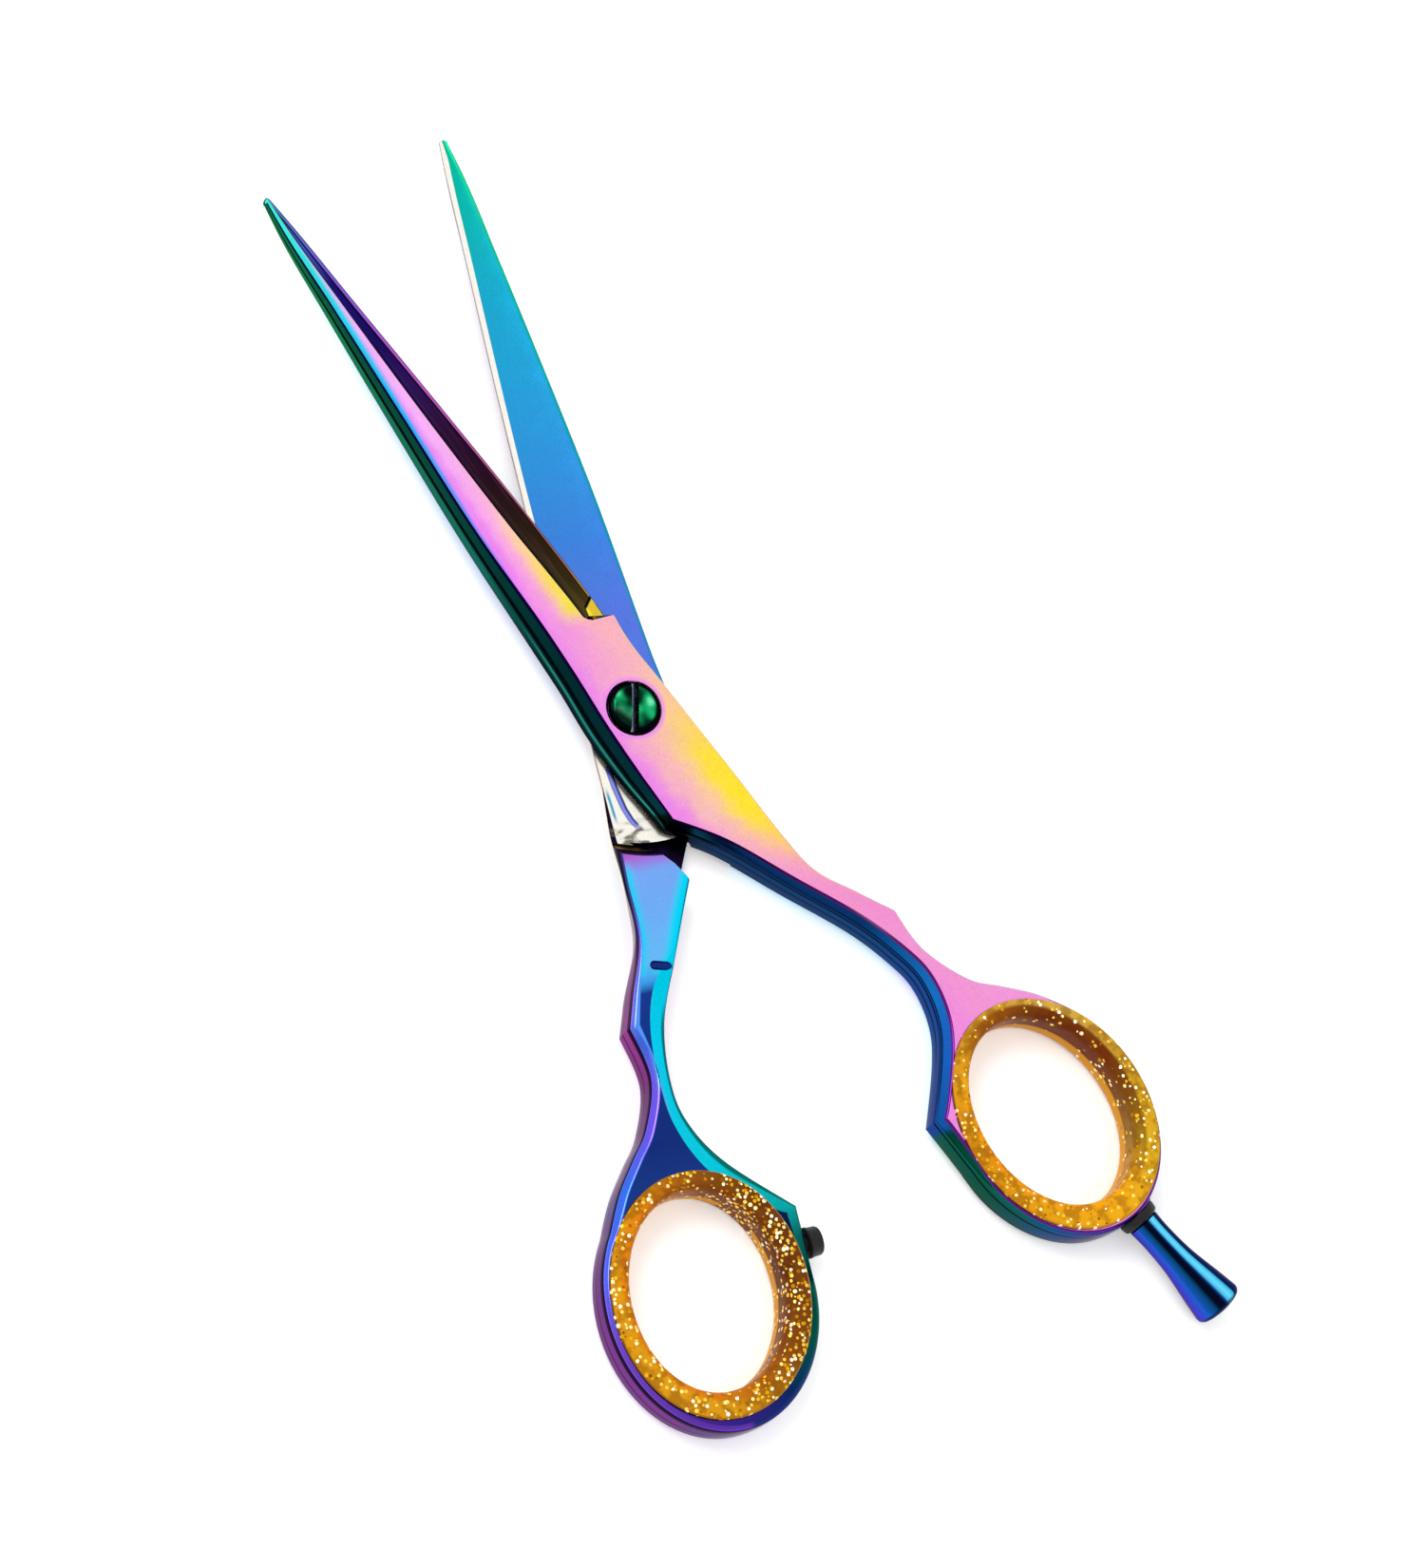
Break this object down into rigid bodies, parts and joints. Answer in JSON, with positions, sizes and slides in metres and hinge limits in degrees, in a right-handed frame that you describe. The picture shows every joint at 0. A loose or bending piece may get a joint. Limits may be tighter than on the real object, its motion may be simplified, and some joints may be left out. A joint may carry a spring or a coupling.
{
  "type": "hair shears",
  "caption": "Pivoted hair-cutting shears with two offset ring handles, soft ring inserts, a closing bumper and a screw-in finger rest.",
  "frame": {"origin": "on the pivot axis, at the level of the table that the shears lie on", "axes": "+Z along the pivot axis, up through the screw's slotted head; +Y between the two blades, toward their tips; +X toward the finger ring"},
  "size_m": [0.0791, 0.1777, 0.007],
  "materials": {
    "rainbow_steel_finger": "polished titanium rainbow coating",
    "rainbow_steel_thumb": "polished titanium rainbow coating, ground bare at the edge and ride",
    "rest_steel": "polished blue coating",
    "screw_steel": "polished green coating",
    "spring_steel": "plain",
    "nylon": "natural",
    "amber_insert": "clear amber with gold flakes",
    "black_rubber": "matt"
  },
  "bodies": {
    "finger_half": {"finger_blade": "rainbow_steel_finger", "finger_ring_insert": "amber_insert", "spring_washer": "spring_steel", "pivot_bush": "nylon", "glide_washer": "nylon"},
    "thumb_half": {"thumb_blade": "rainbow_steel_thumb", "thumb_ring_insert": "amber_insert", "bumper": "black_rubber"},
    "tension_screw": {"pivot_screw": "screw_steel"},
    "rest_washer": {"finger_rest_washer": "black_rubber"},
    "rest": {"finger_rest": "rest_steel"}
  },
  "joints": [
    {"name": "blade_pivot", "type": "hinge", "parent": "finger_half", "child": "thumb_half", "pos_m": [0, 0, 0.0033], "axis": [0, 0, 1], "range_deg": [-70, 17.6]},
    {"name": "tension_screw_turn", "type": "hinge", "parent": "thumb_half", "child": "tension_screw", "pos_m": [0, 0, 0.0033], "axis": [0, 0, 1], "range_deg": [-90, 90]},
    {"name": "finger_rest_travel", "type": "slide", "parent": "finger_half", "child": "rest_washer", "axis": [0.3027, -0.9531, 0], "range_m": [0, 0.0015]},
    {"name": "finger_rest_turn", "type": "hinge", "parent": "rest_washer", "child": "rest", "pos_m": [0.03164, -0.08287, 0.0033], "axis": [0.3027, -0.9531, 0], "range_deg": [0, 1080]}
  ],
  "couplings": [
    {"joint": "finger_rest_turn", "follows": "finger_rest_travel", "rad_per_m": 12566}
  ]
}
